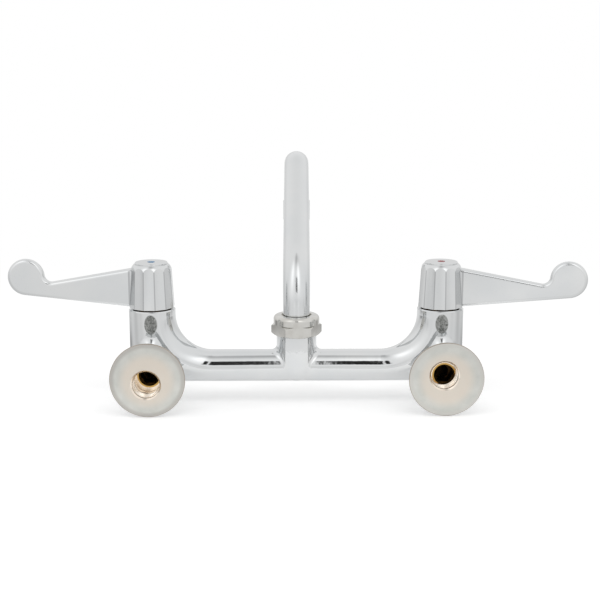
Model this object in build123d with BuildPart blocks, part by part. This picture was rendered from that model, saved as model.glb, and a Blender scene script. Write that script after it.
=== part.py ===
from build123d import *
from dataclasses import dataclass
from math import cos, radians, sin, tan
import os

# A wall-mounted mixing faucet with two wrist-blade handles and a swinging tubular spout.
#
# Frame: the origin lies on the wall face, midway between the two inlet legs and level with
# the body tube. +Z is up and +Y goes into the wall, so the user stands on the -Y side.
# The cold side is at +X and the hot side at -X. All sizes are in millimetres.

os.makedirs("parts", exist_ok=True)

# ---------------------------------------------------------------- fits

running_gap = 0.06          # round a shaft, ring or disc that turns in its bore
thread_gap = 0.05           # between a male and a female thread, both modelled plain
slip_gap = 0.10             # round a piece that is dropped in by hand
face_gap = 0.05             # between the end faces of a turning and a standing piece
ring_gap = 0.03             # round a rubber ring, drawn at its fitted size
rubber_sides = 8            # of the section of a rubber ring

# ---------------------------------------------------------------- body casting

inlet_centres = 203.2       # eight inches between the inlet legs
stand_off = 41.0            # wall face to the plane of the tube, the towers and the spout
tube_diameter = 22.7
tube_bore = 17.5
tube_bore_end = 21.6        # solid metal between the end of the bore and the tower's axis
tower_diameter = 32.6
tower_height = 41.9
sweep_radius = 26.0         # concave sweep from the tube up into each tower
sweep_stages = 8
pattern_step = 0.05         # the tower's round foot is this much slimmer than its barrel
foot_lap = 0.6              # the foot stops this far below the top of the sweep
leg_diameter = 28.0
leg_fillet = 12.0
leg_run = 13.0               # the leg is drawn this much too long, and trimmed once its root is filleted
boss_diameter = 28.3
boss_height = 22.4
boss_fillet = 4.0
boss_port = 14.0
neck_diameter = 26.6        # threaded neck on the boss, under the swivel nut
neck_length = 11.2
rim_chamfer = 0.8

# Valve chamber in each tower, heights above the tube's axis
seat_height = 6.0
seat_web = 2.0
seat_port = 10.0
cartridge_bore = 19.2
bonnet_thread = 21.8
bonnet_thread_length = 10.4
gallery_diameter = 23.2
gallery_lift = 3.5          # gallery floor above the seat
gallery_height = 10.0
supply_chamber = 15.0
supply_depth = 9.5
supply_port = 10.0
supply_drop = 1.5
outlet_port = 11.0
outlet_rise = 28.0          # degrees, slope of the way from the tube up to the gallery
outlet_start = 10.0         # the slanted way starts this far back inside the tube's bore
outlet_length = 26.0

# ---------------------------------------------------------------- wall connections

flange_diameter = 51.3
flange_rim = 2.4
flange_edge = 0.6
flange_flat = 39.6          # of the back, inside its worn and rounded border
flange_border_drop = 0.8
flange_border_round = 14.0
flange_cone = 8.4
flange_hub = 31.4
flange_depth = 21.6
flange_fillet = 3.0
eccentricity = 3.2
inlet_thread = 18.8         # crest diameter of the half-inch pipe thread
inlet_depth = 13.6
inlet_chamfer = 1.1
key_hole = 14.6
key_web = 2.0
nipple_thread = 18.0
nipple_flats = 12.0
nipple_lead_in = 1.6
nipple_end_gap = 0.4
gasket_thickness = 0.8
gasket_diameter = 27.0
cold_eccentric_turn = -72.0  # degrees from +X towards +Z, where each pipe bore stands
hot_eccentric_turn = 61.0

# ---------------------------------------------------------------- ceramic cartridge

cartridge_lift = 1.2        # barrel end above the seat
cartridge_cavity = 16.6
collar_thickness = 2.0
neck_barrel = 14.0
neck_headroom = 2.1         # from the neck's top to the ceiling of the handle's skirt
window_width = 9.0
window_height = 6.0
window_lift = 0.7           # window sill above the joint between the two discs
seal_height = 3.0
seal_bore = 10.8
disc_thickness = 3.5
disc_port_radius = 4.6
disc_port_width = 4.0
disc_port_angle = 30.0      # degrees between the round ends of each port
tang_width = 3.0
tang_height = 1.4
driver_width = 8.0
driver_thickness = 4.0
stem_diameter = 9.0
spline_diameter = 7.9
spline_teeth = 20
spline_depth = 0.45
spline_groove_share = 0.9   # of the pitch, the groove's width there at twice its depth
ring_section = 1.5
barrel_ring_drop = 5.0      # barrel ring below the collar
stem_ring_section = 1.1
stem_ring_drop = 12.0       # stem ring below the top of the cartridge's neck
nut_flats = 22.0
nut_height = 4.5

# ---------------------------------------------------------------- wrist-blade handle

handle_gap = 1.0            # daylight between the tower and the handle's skirt
hub_foot_diameter = 31.6
hub_shoulder_diameter = 28.4
hub_crown_diameter = 24.0
hub_height = 28.1           # foot to shoulder
crown_rise = 2.4            # shoulder to crown
shoulder_round = 6.6
flute_count = 12
flute_depth = 0.75
arris_turn = 15.0           # degrees between the blade and the nearest arris
skirt_bore = 26.4
skirt_depth = 9.2
cap_recess = 18.8
cap_recess_depth = 5.4
screw_web = 4.5             # metal between the spline socket and the screw's seat
screw_hole = 5.4
blade_reach = 100.6         # handle axis to the tip of the paddle
paddle_diameter = 25.6
paddle_lift = 21.0          # paddle centre above the handle's foot
blade_head = 29.7           # blade's top line above the handle's foot, at the axis
blade_head_slope = 9.8      # degrees, falling
blade_foot_slope = 6.1      # degrees, rising
blade_root_thickness = 9.0
blade_paddle_thickness = 6.0
blade_edge = 2.5
blade_root_lap = 3.0        # the blade starts this far inside the wall of the skirt
neck_fillet = 5.0
cold_blade_direction = -1.1  # degrees about +Z from +X, with the valve closed
hot_blade_direction = 170.5

screw_shank = 4.9
screw_length = 12.0
screw_head = 8.6
screw_head_height = 2.2
drive_slot = 1.1
drive_span = 5.0
drive_depth = 1.4
cap_diameter = 22.8
cap_height = 1.3
cap_bevel = 0.4
cap_plug_wall = 1.8
cap_plug_depth = 2.8
dot_diameter = 5.2
dot_depth = 0.7
dot_crown = 0.15

# ---------------------------------------------------------------- spout

spout_diameter = 19.05
spout_wall = 1.0
spout_reach = 152.4         # six inches, swivel axis to outlet axis
upright_length = 7.2        # straight stretch above the swivel nut
lower_bend = 38.1
upper_bend = 28.6
run_slope = 30.0            # degrees above level
outlet_drop = 14.85         # straight stretch below the upper bend
spout_rest_turn = -0.7      # degrees about +Z from straight out
sleeve_length = 15.0
sleeve_ledge = 1.0
socket_diameter = 22.0
socket_depth = 16.1
sleeve_shoulder = 26.2
sleeve_shoulder_height = 1.1
sleeve_ring_section = 0.9
sleeve_ring_heights = (4.0, 10.0)  # above the sleeve's foot
slip_washer_thickness = 0.7
slip_washer_gap = 0.2       # round the spout's tube
swivel_flats = 31.0
swivel_hex_height = 7.8
swivel_foot_gap = 0.5
swivel_collar = 32.5
swivel_collar_edge = 2.6
swivel_lip = 1.3
swivel_mouth = 21.2
swivel_turn = 4.0           # degrees about +Z, where the nut came to rest when it was tightened
hex_chamfer = 30.0          # degrees, the turned corners of both nuts

aerator_diameter = 22.1
aerator_height = 17.1
aerator_edge = 0.8
aerator_lip = 0.8
aerator_mouth = 16.6
screen_thickness = 0.5
screen_hole = 1.4
screen_pitch = 2.6          # between the rings of holes
screen_rings = 2
screen_first_ring = 6       # holes in the inmost ring, and that many more in each next one
insert_height = 3.2
insert_wall = 1.2
insert_core = 4.0
insert_vanes = 4
vane_thickness = 1.0
aerator_washer_height = 1.6
aerator_washer_bore = 13.6

# ---------------------------------------------------------------- derived places

half_centres = inlet_centres / 2
tube_radius = tube_diameter / 2
tower_radius = tower_diameter / 2
sweep_start = half_centres - tower_radius - sweep_radius
sweep_top = tube_radius + sweep_radius
bore_end = half_centres - tube_bore_end

leg_face = flange_depth + gasket_thickness
nipple_socket = flange_depth - inlet_depth - key_web

thread_floor = tower_height - bonnet_thread_length
gallery_floor = seat_height + gallery_lift
gallery_roof = gallery_floor + gallery_height
seal_top = seat_height + seal_height
disc_joint = seal_top + disc_thickness
stack_top = disc_joint + disc_thickness
cavity_roof = stack_top + driver_thickness + slip_gap
disc_diameter = cartridge_cavity - 2 * running_gap
shaft_bore = stem_diameter + 2 * running_gap

hub_foot = tower_height + handle_gap
shoulder = hub_foot + hub_height
crown = shoulder + crown_rise
skirt_ceiling = hub_foot + skirt_depth
neck_barrel_top = skirt_ceiling - neck_headroom
screw_seat = crown - cap_recess_depth
spline_top = screw_seat - screw_web - slip_gap
barrel_ring_height = thread_floor - barrel_ring_drop
stem_ring_height = neck_barrel_top - stem_ring_drop
cap_top = crown + cap_height

boss_radius = boss_diameter / 2
neck_top = boss_height + neck_length
socket_floor = neck_top - socket_depth
shoulder_seat = neck_top + face_gap
sleeve_foot = shoulder_seat - sleeve_length
washer_seat = shoulder_seat + sleeve_shoulder_height + face_gap
lip_seat = washer_seat + slip_washer_thickness
swivel_top = lip_seat + swivel_lip
swivel_bore = neck_diameter + 2 * thread_gap


@dataclass(frozen=True)
class Side:
    """One half of the faucet, with the turns that differ between the halves."""

    name: str
    sign: int
    blade_direction: float
    eccentric_turn: float

    @property
    def x(self):
        """Place of the tower's axis along the wall."""
        return self.sign * half_centres

    @property
    def axis(self):
        """Upright axis of the tower, the cartridge and the handle."""
        return Axis((self.x, -stand_off, 0), (0, 0, 1))

    @property
    def leg_axis(self):
        """Axis of the leg and the flange, from the wall towards the user."""
        return Axis((self.x, 0, 0), (0, -1, 0))

    @property
    def upright(self):
        """Upright plane through the tower's axis, with radius along x and height along y."""
        return Plane(origin=(self.x, -stand_off, 0), x_dir=(1, 0, 0), z_dir=(0, -1, 0))

    @property
    def leg_profile(self):
        """Level plane through the leg's axis, with radius along x and depth from the wall along y."""
        return Plane(origin=(self.x, 0, 0), x_dir=(1, 0, 0), z_dir=(0, 0, -1))

    @property
    def blade_profile(self):
        """Upright plane along the blade, with distance from the handle's axis along x."""
        turn = radians(self.blade_direction)
        return Plane(
            origin=(self.x, -stand_off, 0),
            x_dir=(cos(turn), sin(turn), 0),
            z_dir=(sin(turn), -cos(turn), 0),
        )

    def level(self, height, turn=0):
        """Level plane on the tower's axis, turned by an angle about it."""
        x_dir = (cos(radians(turn)), sin(radians(turn)), 0)
        return Plane(origin=(self.x, -stand_off, height), x_dir=x_dir, z_dir=(0, 0, 1))

    def facing(self, depth):
        """Plane parallel to the wall on the leg's axis, looking at the user from this depth."""
        return Plane(origin=(self.x, -depth, 0), x_dir=(1, 0, 0), z_dir=(0, -1, 0))

    @property
    def bore_centre(self):
        """Place of the eccentric pipe bore in a plane parallel to the wall."""
        turn = radians(self.eccentric_turn)
        return (eccentricity * cos(turn), eccentricity * sin(turn))


cold = Side("cold", 1, cold_blade_direction, cold_eccentric_turn)
hot = Side("hot", -1, hot_blade_direction, hot_eccentric_turn)

centre_axis = Axis((0, -stand_off, 0), (0, 0, 1))
centre_upright = Plane(origin=(0, -stand_off, 0), x_dir=(1, 0, 0), z_dir=(0, -1, 0))


def centre_level(height):
    """Level plane on the spout's swivel axis."""
    return Plane(origin=(0, -stand_off, height), x_dir=(1, 0, 0), z_dir=(0, 0, 1))


def across(place):
    """Upright plane across the body tube at a place along the wall, on the tube's axis."""
    return Plane(origin=(place, -stand_off, 0), x_dir=(0, 1, 0), z_dir=(1, 0, 0))


def outline(plane, *points):
    """Closed profile with straight sides."""
    with BuildSketch(plane) as sketch:
        with BuildLine():
            Polyline(*points, close=True)
        make_face()
    return sketch.sketch


def ring(plane, outer, inner=0.0):
    """Round face of an outer diameter, with a round hole of an inner one."""
    with BuildSketch(plane) as sketch:
        Circle(outer / 2)
        if inner:
            Circle(inner / 2, mode=Mode.SUBTRACT)
    return sketch.sketch


def rubber_section(plane, bore, section, height):
    """Blunt-cornered section of a rubber ring that seals against a bore of this diameter."""
    with BuildSketch(plane) as sketch:
        with Locations((bore / 2 - ring_gap - section / 2, height)):
            RegularPolygon(section / 2, rubber_sides, major_radius=False, rotation=180 / rubber_sides)
    return sketch.sketch


def groove_floor(bore, section):
    """Radius of the floor of a rubber ring's groove inside a bore of this diameter."""
    return bore / 2 - section - 2 * ring_gap


def save(block, name):
    """Label a finished piece and write it as its own file."""
    block.part.label = name
    export_step(block.part, f"parts/{name}.step")


# ---------------------------------------------------------------- body


def body_casting():
    """Body tube with two valve towers, two legs and the spout's boss, cast in one piece."""
    foot = tower_radius - pattern_step
    slim = tube_radius - pattern_step
    foot_top = sweep_top - foot_lap
    with BuildPart() as body:
        # Cold half: the tower's foot is a half ball under a barrel.
        with BuildSketch(cold.upright):
            with BuildLine():
                Line((0, -foot), (0, foot_top))
                Line((0, foot_top), (foot, foot_top))
                Line((foot, foot_top), (foot, 0))
                CenterArc((0, 0), foot, 0, -90)
            make_face()
        revolve(axis=cold.axis)
        leg_start = leg_face - leg_run
        extrude(ring(cold.facing(leg_start), leg_diameter), amount=stand_off - leg_start)
        leg_root = body.edges().filter_by_position(Axis.Y, foot_lap - stand_off, -leg_face - foot_lap)
        fillet(leg_root, leg_fillet)
        extrude(ring(cold.facing(leg_start), 2 * leg_diameter), amount=leg_run, mode=Mode.SUBTRACT)
        # The sweep widens from the tube to the tower while it turns upwards.
        for stage in range(sweep_stages + 1):
            part_way = stage / sweep_stages
            blend = part_way * part_way * (3 - 2 * part_way)
            section = tube_radius + (tower_radius - tube_radius) * blend
            turn = radians(-90 + 90 * part_way)
            spine = sweep_radius + section
            section_plane = Plane(
                origin=(sweep_start + spine * cos(turn), -stand_off, sweep_top + spine * sin(turn)),
                x_dir=(0, 1, 0),
                z_dir=(-sin(turn), 0, cos(turn)),
            )
            with BuildSketch(section_plane):
                Circle(section)
        loft()
        extrude(ring(cold.level(sweep_top), tower_diameter), amount=tower_height - sweep_top)
        # The tube runs on below the sweep, straight into the foot, a pattern step slimmer.
        extrude(ring(across(sweep_start - foot_lap), 2 * slim), amount=half_centres - sweep_start)
        extrude(ring(across(0), tube_diameter), amount=sweep_start)
        mirror(about=Plane.YZ)

        # Boss for the spout: its foot is a half ellipse that meets the tube's underside.
        with BuildSketch(centre_upright):
            with BuildLine():
                Line((0, -tube_radius + pattern_step), (0, boss_height))
                Line((0, boss_height), (boss_radius, boss_height))
                Line((boss_radius, boss_height), (boss_radius, 0))
                EllipticalCenterArc(
                    (0, 0), boss_radius, tube_radius - pattern_step, start_angle=270, arc_size=90
                )
            make_face()
        revolve(axis=centre_axis)
        near_boss = body.edges().filter_by_position(Axis.X, -boss_diameter, boss_diameter)
        boss_root = [edge for edge in near_boss if edge.geom_type == GeomType.BSPLINE]
        fillet(boss_root, boss_fillet)
        extrude(ring(centre_level(boss_height), neck_diameter), amount=neck_length)
        rims = body.faces().filter_by(Axis.Z).group_by(Axis.Z)[-1].edges()
        chamfer(rims, rim_chamfer)

        # Waterways: tube, valve chambers, supply ports and the spout's socket.
        extrude(ring(across(-bore_end), tube_bore), amount=2 * bore_end, mode=Mode.SUBTRACT)
        extrude(ring(centre_level(0), boss_port), amount=neck_top, mode=Mode.SUBTRACT)
        extrude(ring(centre_level(socket_floor), socket_diameter), amount=socket_depth, mode=Mode.SUBTRACT)
        for side in (cold, hot):
            revolve(
                outline(
                    side.upright,
                    (0, -supply_depth),
                    (supply_chamber / 2, -supply_depth),
                    (supply_chamber / 2, seat_height - seat_web),
                    (seat_port / 2, seat_height - seat_web),
                    (seat_port / 2, seat_height),
                    (cartridge_bore / 2, seat_height),
                    (cartridge_bore / 2, gallery_floor),
                    (gallery_diameter / 2, gallery_floor),
                    (gallery_diameter / 2, gallery_roof),
                    (cartridge_bore / 2, gallery_roof),
                    (cartridge_bore / 2, thread_floor),
                    (bonnet_thread / 2, thread_floor),
                    (bonnet_thread / 2, tower_height),
                    (0, tower_height),
                ),
                axis=side.axis,
                mode=Mode.SUBTRACT,
            )
            extrude(ring(side.facing(leg_face), nipple_thread), amount=nipple_socket, mode=Mode.SUBTRACT)
            with BuildSketch(side.facing(leg_face)):
                with Locations((0, -supply_drop)):
                    Circle(supply_port / 2)
            extrude(amount=stand_off - leg_face, mode=Mode.SUBTRACT)
            outlet = Plane(
                origin=(side.sign * (bore_end - outlet_start), -stand_off, 0),
                x_dir=(0, 1, 0),
                z_dir=(side.sign * cos(radians(outlet_rise)), 0, sin(radians(outlet_rise))),
            )
            extrude(ring(outlet, outlet_port), amount=outlet_length, mode=Mode.SUBTRACT)
    save(body, "body_casting")


# ---------------------------------------------------------------- wall connections


def inlet_flange(side):
    """Conical wall flange whose pipe bore stands off the axis of its hub."""
    with BuildPart() as flange:
        with BuildSketch(side.leg_profile) as profile:
            with BuildLine():
                Polyline(
                    (0, 0),
                    (flange_flat / 2, 0),
                    (flange_diameter / 2, flange_border_drop),
                    (flange_diameter / 2, flange_rim),
                    (flange_hub / 2, flange_cone),
                    (flange_hub / 2, flange_depth),
                    (0, flange_depth),
                    close=True,
                )
            make_face()
            root = profile.vertices().sort_by_distance((flange_hub / 2, flange_cone))[0]
            fillet(root, flange_fillet)
            border = profile.vertices().sort_by_distance((flange_flat / 2, 0))[0]
            fillet(border, flange_border_round)
            rim_middle = (flange_rim + flange_border_drop) / 2
            rim = profile.vertices().sort_by_distance((flange_diameter / 2, rim_middle))[:2]
            fillet(rim, flange_edge)
        revolve(axis=side.leg_axis)
        with BuildSketch(side.facing(0)):
            with Locations(side.bore_centre):
                Circle(inlet_thread / 2)
        extrude(amount=inlet_depth, mode=Mode.SUBTRACT)
        mouth = flange.faces().sort_by(Axis.Y)[-1].edges().sort_by(SortBy.RADIUS)[0]
        chamfer(mouth, inlet_chamfer)
        extrude(ring(side.facing(inlet_depth), key_hole), amount=key_web, mode=Mode.SUBTRACT)
        socket_plane = side.facing(flange_depth - nipple_socket)
        extrude(ring(socket_plane, nipple_thread), amount=nipple_socket, mode=Mode.SUBTRACT)
    save(flange, f"inlet_flange_{side.name}")


def flange_gasket(side):
    """Flat fibre ring between the flange's hub and the leg."""
    with BuildPart() as gasket:
        gasket_ring = ring(side.facing(flange_depth), gasket_diameter, nipple_thread + 2 * slip_gap)
        extrude(gasket_ring, amount=gasket_thickness)
    save(gasket, f"flange_gasket_{side.name}")


def hexagon_nipple(side):
    """Hollow nipple with opposite threads, turned by a hexagon key from the wall side."""
    outer = nipple_thread - 2 * thread_gap
    start = flange_depth - nipple_socket + nipple_end_gap
    length = leg_face + nipple_socket - nipple_end_gap - start
    with BuildPart() as nipple:
        extrude(ring(side.facing(start), outer), amount=length)
        with BuildSketch(side.facing(start)):
            RegularPolygon(nipple_flats / 2, 6, major_radius=False)
        extrude(amount=length, mode=Mode.SUBTRACT)
        lead_in = outline(
            side.leg_profile,
            (0, start),
            (nipple_flats / 2 + nipple_lead_in, start),
            (nipple_flats / 2, start + nipple_lead_in),
            (0, start + nipple_lead_in),
        )
        revolve(lead_in, axis=side.leg_axis, mode=Mode.SUBTRACT)
    save(nipple, f"hexagon_nipple_{side.name}")


# ---------------------------------------------------------------- cartridge


def seat_seal(side):
    """Rubber seal that presses the fixed disc upwards from the seat."""
    with BuildPart() as seal:
        extrude(ring(side.level(seat_height), disc_diameter, seal_bore), amount=seal_height)
    save(seal, f"seat_seal_{side.name}")


def disc_ports(plane):
    """Two opposite curved ports of a ceramic disc."""
    with BuildSketch(plane) as ports:
        for middle in (0, 180):
            arc = CenterArc((0, 0), disc_port_radius, middle - disc_port_angle / 2, disc_port_angle)
            SlotArc(arc, disc_port_width)
    return ports.sketch


def fixed_disc(side):
    """Lower ceramic disc, held still, with its ports towards and away from the tube."""
    with BuildPart() as disc:
        extrude(ring(side.level(seal_top), disc_diameter), amount=disc_thickness)
        extrude(disc_ports(side.level(seal_top)), amount=disc_thickness, mode=Mode.SUBTRACT)
    save(disc, f"fixed_disc_{side.name}")


def moving_disc(side):
    """Upper ceramic disc, a quarter turn off the fixed one when the valve is closed."""
    with BuildPart() as disc:
        extrude(ring(side.level(disc_joint), disc_diameter), amount=disc_thickness)
        ports = disc_ports(side.level(disc_joint, 90))
        extrude(ports, amount=disc_thickness, mode=Mode.SUBTRACT)
        with BuildSketch(side.level(stack_top)):
            Rectangle(2 * disc_diameter, tang_width + 2 * slip_gap)
        extrude(amount=-tang_height - slip_gap, mode=Mode.SUBTRACT)
    save(disc, f"moving_disc_{side.name}")


def cartridge_body(side):
    """Brass barrel that holds the discs, with a collar under the bonnet nut and a long neck."""
    barrel = cartridge_bore / 2 - slip_gap
    collar = bonnet_thread / 2 - 2 * slip_gap
    collar_top = thread_floor + collar_thickness
    barrel_foot = seat_height + cartridge_lift
    floor = groove_floor(cartridge_bore, ring_section)
    half_groove = ring_section / 2 + slip_gap
    with BuildPart() as cartridge:
        revolve(
            outline(
                side.upright,
                (cartridge_cavity / 2, barrel_foot),
                (barrel, barrel_foot),
                (barrel, barrel_ring_height - half_groove),
                (floor, barrel_ring_height - half_groove),
                (floor, barrel_ring_height + half_groove),
                (barrel, barrel_ring_height + half_groove),
                (barrel, thread_floor),
                (collar, thread_floor),
                (collar, collar_top),
                (neck_barrel / 2, collar_top),
                (neck_barrel / 2, neck_barrel_top),
                (shaft_bore / 2, neck_barrel_top),
                (shaft_bore / 2, cavity_roof),
                (cartridge_cavity / 2, cavity_roof),
            ),
            axis=side.axis,
        )
        sill = disc_joint + window_lift
        window_plane = Plane(
            origin=(side.x, -stand_off, sill + window_height / 2), x_dir=(0, 1, 0), z_dir=(1, 0, 0)
        )
        with BuildSketch(window_plane):
            Rectangle(window_width, window_height)
        extrude(amount=cartridge_bore, both=True, mode=Mode.SUBTRACT)
    save(cartridge, f"cartridge_body_{side.name}")


def cartridge_ring(side):
    """Rubber ring between the cartridge's barrel and the tower's bore."""
    with BuildPart() as rubber:
        section = rubber_section(side.upright, cartridge_bore, ring_section, barrel_ring_height)
        revolve(section, axis=side.axis)
    save(rubber, f"cartridge_ring_{side.name}")


def stem(side):
    """Brass stem: driver plate with its key below, rubber ring groove, splined top and screw hole."""
    shaft = stem_diameter / 2
    spline = spline_diameter / 2
    floor = groove_floor(shaft_bore, stem_ring_section)
    half_groove = stem_ring_section / 2 + slip_gap
    spline_foot = skirt_ceiling - slip_gap
    with BuildPart() as spindle:
        with BuildSketch(side.level(stack_top)):
            Circle(disc_diameter / 2)
            Rectangle(2 * disc_diameter, driver_width, mode=Mode.INTERSECT)
        extrude(amount=driver_thickness)
        with BuildSketch(side.level(stack_top)):
            Circle(disc_diameter / 2)
            Rectangle(2 * disc_diameter, tang_width, mode=Mode.INTERSECT)
        extrude(amount=-tang_height)
        revolve(
            outline(
                side.upright,
                (0, stack_top),
                (shaft, stack_top),
                (shaft, stem_ring_height - half_groove),
                (floor, stem_ring_height - half_groove),
                (floor, stem_ring_height + half_groove),
                (shaft, stem_ring_height + half_groove),
                (shaft, spline_foot),
                (spline, spline_foot),
                (spline, spline_top),
                (0, spline_top),
            ),
            axis=side.axis,
        )
        # V-shaped grooves leave the spline's teeth standing.
        root = spline - spline_depth
        beyond = spline + spline_depth
        half_width = spline_groove_share * spline * radians(360 / spline_teeth)
        for tooth in range(spline_teeth):
            tooth_plane = side.level(spline_foot, 360 * tooth / spline_teeth)
            groove = outline(tooth_plane, (root, 0), (beyond, half_width), (beyond, -half_width))
            extrude(groove, amount=spline_top - spline_foot, mode=Mode.SUBTRACT)
        thread_hole = ring(side.level(spline_top), screw_shank + 2 * thread_gap)
        thread_depth = screw_length - screw_web
        extrude(thread_hole, amount=-thread_depth, mode=Mode.SUBTRACT)
    save(spindle, f"stem_{side.name}")


def stem_ring(side):
    """Rubber ring in the stem's groove, against the bore of the cartridge's neck."""
    with BuildPart() as rubber:
        section = rubber_section(side.upright, shaft_bore, stem_ring_section, stem_ring_height)
        revolve(section, axis=side.axis)
    save(rubber, f"stem_ring_{side.name}")


def turned_hexagon(plane, flats, bottom, top, turn_foot):
    """Half profile of a hexagon nut with its corners turned off at the head and, if asked, the foot."""
    flat = flats / 2
    corner = flat / cos(radians(30))
    drop = (corner - flat) * tan(radians(hex_chamfer))
    foot_points = [(flat, bottom), (corner, bottom + drop)] if turn_foot else [(corner, bottom)]
    return outline(plane, (0, bottom), *foot_points, (corner, top - drop), (flat, top), (0, top))


def bonnet_nut(side):
    """Hexagon nut whose threaded skirt clamps the cartridge's collar."""
    collar_top = thread_floor + collar_thickness
    hex_foot = tower_height + slip_gap
    hex_top = hex_foot + nut_height
    with BuildPart() as nut:
        with BuildSketch(side.level(hex_foot)):
            RegularPolygon(nut_flats / 2, 6, major_radius=False)
        extrude(amount=nut_height)
        turned = turned_hexagon(side.upright, nut_flats, hex_foot, hex_top, turn_foot=False)
        revolve(turned, axis=side.axis, mode=Mode.INTERSECT)
        skirt = ring(side.level(collar_top), bonnet_thread - 2 * thread_gap)
        extrude(skirt, amount=hex_foot - collar_top)
        bore = ring(side.level(collar_top), neck_barrel + 2 * slip_gap)
        extrude(bore, amount=hex_top - collar_top, mode=Mode.SUBTRACT)
    save(nut, f"bonnet_nut_{side.name}")


# ---------------------------------------------------------------- handle


def fluted_section(plane, diameter, first_arris):
    """Round section whose edge is a ring of shallow hollows between sharp arrises."""
    pitch = 360 / flute_count
    arris = diameter / 2
    valley = arris - flute_depth

    def at(radius, turn):
        return (radius * cos(radians(turn)), radius * sin(radians(turn)))

    with BuildSketch(plane) as section:
        with BuildLine():
            for flute in range(flute_count):
                turn = first_arris + flute * pitch
                ThreePointArc(at(arris, turn), at(valley, turn + pitch / 2), at(arris, turn + pitch))
        make_face()
    return section.sketch


def handle_blade(side):
    """Wrist blade with its round paddle, thinner towards the tip."""
    paddle_radius = paddle_diameter / 2
    paddle_centre = blade_reach - paddle_radius
    paddle_height = hub_foot + paddle_lift
    foot_slope = radians(blade_foot_slope)
    touch_x = paddle_centre + paddle_radius * sin(foot_slope)
    touch_z = paddle_height - paddle_radius * cos(foot_slope)
    head = hub_foot + blade_head
    fall = tan(radians(blade_head_slope))
    root = skirt_bore / 2 - blade_root_lap
    plan_floor = hub_foot - paddle_radius
    with BuildPart() as blade:
        with BuildSketch(side.blade_profile) as profile:
            with BuildLine():
                Polyline(
                    (root, touch_z - (touch_x - root) * tan(foot_slope)),
                    (touch_x, touch_z),
                    (paddle_centre, head - paddle_centre * fall),
                    (root, head - root * fall),
                    close=True,
                )
            make_face()
            with Locations((paddle_centre, paddle_height)):
                Circle(paddle_radius)
            neck_x = paddle_centre - paddle_radius
            neck = profile.vertices().sort_by_distance((neck_x, head - neck_x * fall))[0]
            fillet(neck, neck_fillet)
        extrude(amount=blade_root_thickness, both=True)
        # The thickness falls steadily from the axis to the paddle's centre and on past its tip.
        past_tip = blade_reach + paddle_radius
        thinning = (blade_root_thickness - blade_paddle_thickness) / paddle_centre
        half_root = blade_root_thickness / 2
        half_end = (blade_root_thickness - thinning * past_tip) / 2
        plan = outline(
            side.level(plan_floor, side.blade_direction),
            (0, -half_root),
            (past_tip, -half_end),
            (past_tip, half_end),
            (0, half_root),
        )
        extrude(plan, amount=crown + paddle_diameter - plan_floor, mode=Mode.INTERSECT)
        faces = blade.faces().sort_by(SortBy.AREA)[-2:]
        long_edges = [
            edge
            for face in faces
            for edge in face.edges()
            if side.blade_profile.to_local_coords(edge.center()).X > root + blade_edge
        ]
        fillet(long_edges, blade_edge)
    return blade.part


def handle(side):
    """Fluted hub with its wrist blade, hollow below round the bonnet nut and recessed on top."""
    first_arris = side.blade_direction - side.sign * arris_turn
    foot = hub_foot_diameter / 2 + pattern_step
    corner = hub_shoulder_diameter / 2 + pattern_step
    rise = (hub_foot_diameter - hub_shoulder_diameter) / hub_height
    crown_section = hub_shoulder_diameter - rise * crown_rise
    blade = handle_blade(side)
    with BuildPart() as grip:
        sections = [
            fluted_section(side.level(hub_foot), hub_foot_diameter, first_arris),
            fluted_section(side.level(crown), crown_section, first_arris),
        ]
        loft(sections, ruled=True)
        # Where the turned, rounded shoulder crosses the flutes it leaves a scalloped edge.
        with BuildSketch(side.upright) as envelope:
            with BuildLine():
                Polyline(
                    (0, hub_foot),
                    (foot, hub_foot),
                    (corner, shoulder),
                    (hub_crown_diameter / 2, crown),
                    (0, crown),
                    close=True,
                )
            make_face()
            fillet(envelope.vertices().sort_by_distance((corner, shoulder))[0], shoulder_round)
        revolve(axis=side.axis, mode=Mode.INTERSECT)
        add(blade)
        skirt = ring(side.level(tower_height), skirt_bore)
        extrude(skirt, amount=handle_gap + skirt_depth, mode=Mode.SUBTRACT)
        socket = ring(side.level(skirt_ceiling), spline_diameter + 2 * slip_gap)
        extrude(socket, amount=screw_seat - screw_web - skirt_ceiling, mode=Mode.SUBTRACT)
        extrude(ring(side.level(skirt_ceiling), screw_hole), amount=crown - skirt_ceiling, mode=Mode.SUBTRACT)
        extrude(ring(side.level(screw_seat), cap_recess), amount=cap_recess_depth, mode=Mode.SUBTRACT)
    save(grip, f"handle_{side.name}")


def handle_screw(side):
    """Pan-head screw that holds the handle on the stem."""
    with BuildPart() as screw:
        extrude(ring(side.level(screw_seat), screw_head), amount=screw_head_height)
        head_rim = screw.faces().sort_by(Axis.Z)[-1].edges()
        fillet(head_rim, screw_head_height / 2)
        extrude(ring(side.level(screw_seat), screw_shank), amount=-screw_length)
        with BuildSketch(side.level(screw_seat + screw_head_height)):
            Rectangle(drive_span, drive_slot)
            Rectangle(drive_slot, drive_span)
        extrude(amount=-drive_depth, mode=Mode.SUBTRACT)
    save(screw, f"handle_screw_{side.name}")


def index_cap(side):
    """Round cap with a bevelled rim and a ring-shaped plug that snaps into the hub's recess."""
    plug = cap_recess - 2 * thread_gap
    with BuildPart() as cap:
        extrude(ring(side.level(crown), cap_diameter), amount=cap_height)
        chamfer(cap.faces().sort_by(Axis.Z)[-1].edges(), cap_bevel)
        extrude(ring(side.level(crown), plug, plug - 2 * cap_plug_wall), amount=-cap_plug_depth)
        dot_seat = ring(side.level(cap_top), dot_diameter + 2 * thread_gap)
        extrude(dot_seat, amount=-dot_depth, mode=Mode.SUBTRACT)
    save(cap, f"index_cap_{side.name}")


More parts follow.
